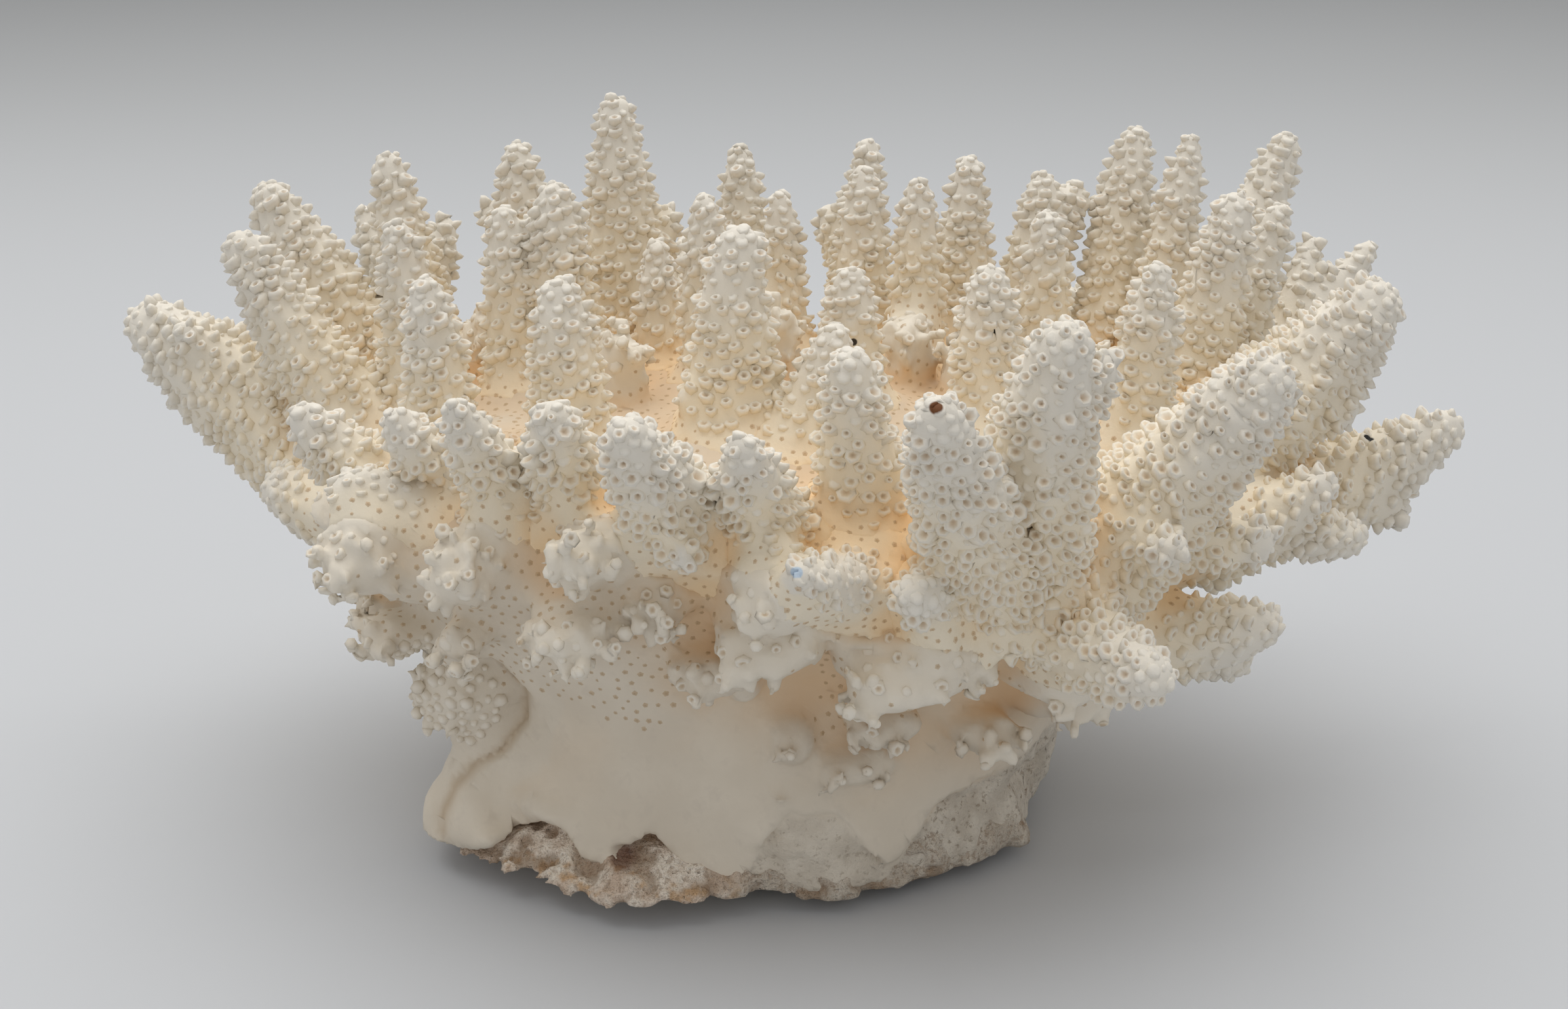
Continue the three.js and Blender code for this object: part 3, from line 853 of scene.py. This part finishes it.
def rock_material():
    n = Nodes("reef_rock")
    blotch = n.band(n.noise(6.0, 4.0), 0.35, 0.68)
    body = n.mix(blotch, ROCK_PINK, ROCK_PALE)
    ochre = n.band(n.noise(4.5, 3.0), 0.56, 0.70, 0.0, 0.7)
    body = n.mix(ochre, body, ROCK_OCHRE)
    grey = n.mix(n.band(n.noise(5.0, 3.0), 0.35, 0.68), BARE_DARK, BARE_PALE)
    body = n.mix(n.attribute("bared"), body, grey)
    pores = n.noise(1.0, 3.0, 0.65)
    # Painted shade in the sunk pores of the rock.
    body = n.mix(n.band(pores, 0.50, 0.36, 0.0, 0.5), body, ROCK_PORE_SHADE)
    # Painted shade in the rock's carved holes.
    body = n.mix(n.times(n.attribute("hole"), 0.85), body, ROCK_HOLE_SHADE)
    # The hollows' own red-brown stain, darkened with painted shade.
    body = n.mix(n.times(n.attribute("stain_and_shade"), 0.95), body, ROCK_POCKET_STAIN_AND_SHADE)
    sunk = n.bump(pores, 1.3, 1.0)
    return n.finish(body, 0.95, 0.15, n.bump(n.noise(0.6, 2.0, 0.7), 0.25, 0.8, sunk))


coral = coral_material()
crust = crust_material()
rock = rock_material()
BASE_TREE = BVHTree.FromPolygons(MESHES["base"][0].tolist(), MESHES["base"][1].tolist())


def finger_piece(name):
    """One finger: pits near its foot, then cups, and mostly knobs at its tip."""
    points, tris = main_part(*own_share(name).surface())
    normals = WHOLE.gradient(points, NORMAL_STEP)
    depth = WHOLE.at(points)
    edges = edges_of(tris)
    gap = np.array([BASE_TREE.find_nearest(p)[3] for p in points.tolist()])
    feet = np.nonzero(gap < max(2.6, gap.min() + 0.8))[0]
    far = walk(points, edges, feet.tolist())
    growth = uphill(points, edges, far, normals)
    length = far.max()
    crowd = CROWD.at(points + normals * CROWD_OUT)
    slim = SLIM.at(points)
    share = far / length
    tip = np.maximum(0.95 * smoothstep(0.25, 0.9, share), smoothstep(0.34, 0.24, slim))
    start = PIT_ZONE + 2.0 * noise(points[feet].mean(0)[None], 7.0, 5)[0]
    data = np.column_stack([points, normals, growth, far, crowd, tip, depth])

    def apart(rows):
        along = rows[:, FINGER_FAR]
        end = smoothstep(8.0, 3.0, length - along)
        out = CUP_SPACING + (TIP_SPACING - CUP_SPACING) * end
        out = np.where(along < start, PIT_SPACING, out)
        return np.where((rows[:, FINGER_DEPTH] > BURIED) & (along > 0.3), out, 0)

    rows = scatter(points, tris, data, TIP_SPACING, apart)
    along, crowd_at, tip_at = rows[:, FINGER_FAR], rows[:, FINGER_CROWD], rows[:, FINGER_TIP]
    normal, way = unit(rows[:, NORMAL]), unit(rows[:, WAY])
    end = smoothstep(7.0, 2.0, length - along)
    kind = np.where(RNG.random(len(rows)) < 0.2 + 0.65 * end, KNOBS, CUPS)
    kind[along < start] = PITS
    blank = np.zeros(len(points))
    parts = [(points, tris, np.column_stack([blank, blank + 0.1, tip, crowd, blank, blank]))]
    for which, (label, rings, sides) in enumerate(STAMPS):
        k = kind == which
        count = int(k.sum())
        if not count:
            continue
        rise = smoothstep(start - 1.0, start + 6.0, along[k])
        lean = np.radians(CUP_LEAN * (1 - 0.5 * end[k]) * vary(count, 0.14))
        if label == "cups":
            radius = CUP_RADIUS * (1 - 0.2 * end[k]) * (0.85 + 0.15 * rise) * vary(count, 0.17)
            height = (0.55 + 0.5 * rise) * (1 - 0.4 * end[k]) * vary(count, 0.16)
        elif label == "knobs":
            radius, height = KNOB_RADIUS * vary(count, 0.16), KNOB_HEIGHT * vary(count, 0.2)
        else:
            radius, height = PIT_RADIUS * vary(count, 0.16), np.ones(count)
        made = stamp(rings, sides, rows[k, POINT], normal[k], way[k], radius, height, lean, HOLE_SHADE[label])
        none = np.zeros(count)
        parts.append(marked(made, tip_at[k], crowd_at[k], none, none))
    make_piece(f"{name}_grown", *join(parts), coral, name, "coral")


for finger in FINGERS:
    finger_piece(finger)


def hem_height(p):
    """Height of the crust's ragged lower edge."""
    front = np.interp(p[:, 0], HEM_X, HEM_Z)
    level = np.where(p[:, 1] < 0, front, np.interp(p[:, 1], [0, 25], [1, 0]) * (front - 7.5) + 7.5)
    return level + 1.0 * noise(p, 5.0, 61) + 0.7 * noise(p, 2.2, 62)


def foot_lift(p):
    """Height of the foot's underside: up off the floor near the outside, most at the front and left."""
    across = p[:, 0] / np.where(p[:, 0] < 0, FOOT_LEFT, FOOT_RIGHT)
    out = np.hypot(across, p[:, 1] / np.where(p[:, 1] < 0, FOOT_FRONT, FOOT_BACK))
    lift = 1.6 + 4.0 * smoothstep(0, -30, p[:, 1]) * smoothstep(45, -20, p[:, 0])
    lift += 1.2 * noise(p * [1, 1, 0], 9.0, 45) + 0.8 * noise(p * [1, 1, 0], 3.5, 46)
    return lift * smoothstep(0.45, 0.78, out)


def base_piece():
    """The crust and body, cut off along the ragged lower edge, and what stands on them."""
    field = own_share("base")
    mask, spots = field.near(SHAPE_NEAR)
    under = 0.8 * (foot_lift(spots) + 0.4 - spots[:, 2])
    field.values[mask] = np.maximum(field.values[mask], under).astype(np.float32)
    hem = hem_height(spots)
    ragged = np.where(spots[:, 2] < 28, 0.9 * (hem - spots[:, 2]), -9)
    rough = 0.6 * noise(spots, 2.6, 63) + 0.35 * noise(spots, 1.6, 64)
    thick = np.where(spots[:, 0] > 1, 0.9, 9.0) + 0.7 * rough
    cut = np.minimum(ragged, field.values[mask] + thick)
    field.values[mask] = np.maximum(field.values[mask], cut).astype(np.float32)
    points, tris = main_part(*field.surface())
    normals = WHOLE.gradient(points, NORMAL_STEP)
    depth = WHOLE.at(points)
    crowd = CROWD.at(points + normals * CROWD_OUT)
    slim = SLIM.at(points)
    proud = BROAD.at(points)
    outward = BROAD.gradient(points, 3.0)
    z = points[:, 2]
    nubs = smoothstep(NUBS_REACH, NUBS_REACH - 4, np.linalg.norm(points - NUBS_AT, axis=1))
    bud = smoothstep(1.2, 2.2, proud) * smoothstep(22, 28, z)
    tip = np.maximum(0.9 * smoothstep(1.5, 5.0, proud) * bud, 0.5 * nubs)
    bare = 40 + 9 * noise(points, 16.0, 31) + 6 * noise(points, 6.0, 32)
    bared = smoothstep(0.3, 1.3, hem_height(points) - z) * smoothstep(0, 3, points[:, 0])
    bared *= 0.55 + 0.35 * smoothstep(27, 31, points[:, 0])
    # Less painted recess shade near the nubs.
    crowd -= 0.3 * smoothstep(24, 16, np.linalg.norm(points - NUBS_AT, axis=1))
    behind, there = fold(points)
    # Painted shade: a dark band in the crease just behind the fold's lip.
    stain_and_shade = 0.7 * there * np.exp(-(((behind - 0.7) / 0.9) ** 2))
    data = np.column_stack([points, normals, outward, proud, crowd, slim, tip, depth, nubs, bare])

    def on_bud(rows):
        return (rows[:, BASE_PROUD] > 2.0) & (rows[:, HEIGHT] > 24)

    def on_rim(rows):
        return on_bud(rows) & (rows[:, BASE_SLIM] < 0.34)

    def on_top(rows):
        return on_bud(rows) & (rows[:, UP] > 0.15) & (rows[:, HEIGHT] > 40)

    def on_nub(rows):
        return rows[:, BASE_NUBS] > 0.3

    def apart(rows):
        out = np.where(rows[:, HEIGHT] > rows[:, BASE_BARE], PIT_SPACING, 0)
        out = np.where(on_bud(rows), 2 * PIT_SPACING, out)
        out = np.where(on_top(rows), SHELF_SPACING, out)
        out = np.where(on_rim(rows) & (rows[:, UP] > -0.2), RIM_SPACING, out)
        out = np.where(on_nub(rows), NUB_SPACING, out)
        return np.where((rows[:, BASE_DEPTH] > BURIED) & (rows[:, HEIGHT] > 9), out, 0)

    rows = scatter(points, tris, data, NUB_SPACING, apart)
    normal, way = unit(rows[:, NORMAL]), unit(unit(rows[:, WAY]) + [0, 0, 0.25])
    chance = RNG.random(len(rows))
    nub = on_nub(rows)
    mixed = np.where(chance < SHELF_CUPS_TO, CUPS, np.where(chance < SHELF_KNOBS_TO, KNOBS, PITS))
    kind = np.where(nub, KNOBS, np.where(on_top(rows) | on_rim(rows), mixed, PITS))
    parts = []
    for which, (label, rings, sides) in enumerate(STAMPS):
        k = kind == which
        count = int(k.sum())
        if label == "cups":
            radius = SHELF_CUP_RADIUS * vary(count, 0.1)
            height = SHELF_CUP_HEIGHT * vary(count, 0.18)
            lean = np.radians(45 * vary(count, 0.2))
        elif label == "knobs":
            radius = SHELF_KNOB_RADIUS * vary(count, 0.2)
            height = np.where(nub[k], NUB_HEIGHT, SHELF_KNOB_HEIGHT) * vary(count, 0.25)
            lean = np.radians(25 * vary(count, 0.3))
        else:
            radius, height, lean = PIT_RADIUS * vary(count, 0.18), np.ones(count), np.zeros(count)
        made = stamp(rings, sides, rows[k, POINT], normal[k], way[k], radius, height, lean, HOLE_SHADE[label])
        none = np.zeros(count)
        parts.append(marked(made, rows[k, BASE_TIP], rows[k, BASE_CROWD], none, none))
    blank = np.zeros(len(points))
    marks = np.column_stack([blank, blank + 0.1, tip, crowd, stain_and_shade, bared])
    make_piece("base_grown", points, tris, marks, crust, "base", "crust")
    make_piece("base_cups", *join(parts), crust, "base", "crust")


base_piece()


def rock_piece():
    """The rock under the crust: a brow at the front, lumps and holes, and an underside off the floor."""
    solid = Field.of(*MESHES["reef_rock"], ROCK_VOXEL, ROCK_BAND, ROCK_PAD)
    mask, spots = solid.near(ROCK_NEAR)
    side = smoothstep(0.2, 2.2, spots[:, 2]) * smoothstep(17.5, 14.5, spots[:, 2])
    brow = smoothstep(1.0, 3.5, spots[:, 2]) * smoothstep(13.5, 5.5, spots[:, 2])
    brow *= smoothstep(-14, -32, spots[:, 1])
    brow *= 1.0 + 5.2 * smoothstep(10, -14, spots[:, 0])
    solid.values[mask] -= brow.astype(np.float32)
    lumps = 1.0 * noise(spots, 8.0, 41) + 0.9 * noise(spots, 3.4, 42)
    spongy = smoothstep(14, -6, spots[:, 0])
    holes = smoothstep(0.0, 0.5, noise(spots, 2.6, 43)) * (0.8 + 0.9 * spongy) + 0.6 * noise(spots, 1.5, 44)
    solid.values[mask] += (side * (lumps + holes)).astype(np.float32)
    for centre, radii in POCKETS:
        dent = (1 - pocket_share(spots, centre, radii)) * min(radii)
        solid.values[mask] = np.maximum(solid.values[mask], dent.astype(np.float32))
    under = 0.8 * (foot_lift(spots) - spots[:, 2])
    solid.values[mask] = np.maximum(solid.values[mask], under).astype(np.float32)
    points, tris = main_part(*solid.surface(ROCK_FLATTEN))
    points[:, 2] = np.maximum(points[:, 2], 0)
    # Painted shade in the holes carved by the same noise, none at the floor.
    hole = 0.75 * smoothstep(0.1, 0.6, noise(points, 2.6, 43)) * smoothstep(0.2, 1.5, points[:, 2])
    # The hollows' own red-brown stain, darkened with painted shade, in and about the hollows.
    stain_and_shade = np.zeros(len(points))
    for centre, radii in POCKETS:
        stain_and_shade = np.maximum(stain_and_shade, smoothstep(1.35, 0.8, pocket_share(points, centre, radii)))
    bared = 0.85 * smoothstep(-4, 8, points[:, 0] + 4 * noise(points, 7.0, 47))
    blank = np.zeros(len(points))
    marks = np.column_stack([hole, blank, blank, blank, stain_and_shade, bared])
    make_piece("reef_rock_rough", points, tris, marks, rock, "reef_rock", "rock")


rock_piece()


# Stage

# The floor's colour runs darker towards the back: painted shade.
FLOOR_NEAR = (0.59, 0.61, 0.64)
FLOOR_FAR = (0.47, 0.485, 0.50)
LIGHTS_AIM = (0, 0, 0.06)


def floor_material():
    n = Nodes("floor_paper")
    part = n.add("ShaderNodeSeparateXYZ")
    n.put(part.inputs["Vector"], n.place())
    # Painted shade: darker towards the back of the floor.
    shade = n.band(part.outputs["Y"], 0.0, 1.1)
    colour = n.mix(shade, FLOOR_NEAR, FLOOR_FAR)
    return n.finish(colour, 0.7, 0.2, n.bump(n.noise(1.5, 2.0), 0.02, 0.3))


bpy.ops.mesh.primitive_plane_add(size=12, location=(0, 0, 0))
floor = bpy.context.object
floor.name = "floor"
floor.data.materials.append(floor_material())


def area_light(name, at, look, size, power, colour):
    light = bpy.data.lights.new(name, "AREA")
    light.shape = "RECTANGLE"
    light.size, light.size_y = size
    light.energy = power
    light.color = colour
    obj = bpy.data.objects.new(name, light)
    obj.location = at
    obj.rotation_euler = (Vector(look) - Vector(at)).to_track_quat("-Z", "Y").to_euler()
    bpy.context.scene.collection.objects.link(obj)


area_light("overhead", (-0.07, 0.3, 1.28), LIGHTS_AIM, (1.9, 1.6), 15.4, (1.0, 0.985, 0.96))
area_light("front_fill", (-0.35, -1.3, 0.75), LIGHTS_AIM, (1.2, 0.8), 0.6, (1.0, 0.99, 0.97))

bpy.context.scene.view_settings.view_transform = "Standard"
world = bpy.data.worlds.new("studio")
world.use_nodes = True
world.node_tree.nodes["Background"].inputs["Color"].default_value = (1.0, 0.985, 0.965, 1)
world.node_tree.nodes["Background"].inputs["Strength"].default_value = 0.48
bpy.context.scene.world = world

camera = bpy.data.cameras.new("camera")
camera.sensor_width = 36
camera.sensor_fit = "HORIZONTAL"
camera.lens = FOCAL_PX / IMAGE_SIZE[0] * camera.sensor_width
camera.clip_start = 0.01
camera_obj = bpy.data.objects.new("camera", camera)
camera_obj.location = [v * MM for v in CAMERA_AT]
camera_obj.rotation_euler = (math.radians(90 - CAMERA_PITCH), 0, 0)
bpy.context.scene.collection.objects.link(camera_obj)
bpy.context.scene.camera = camera_obj
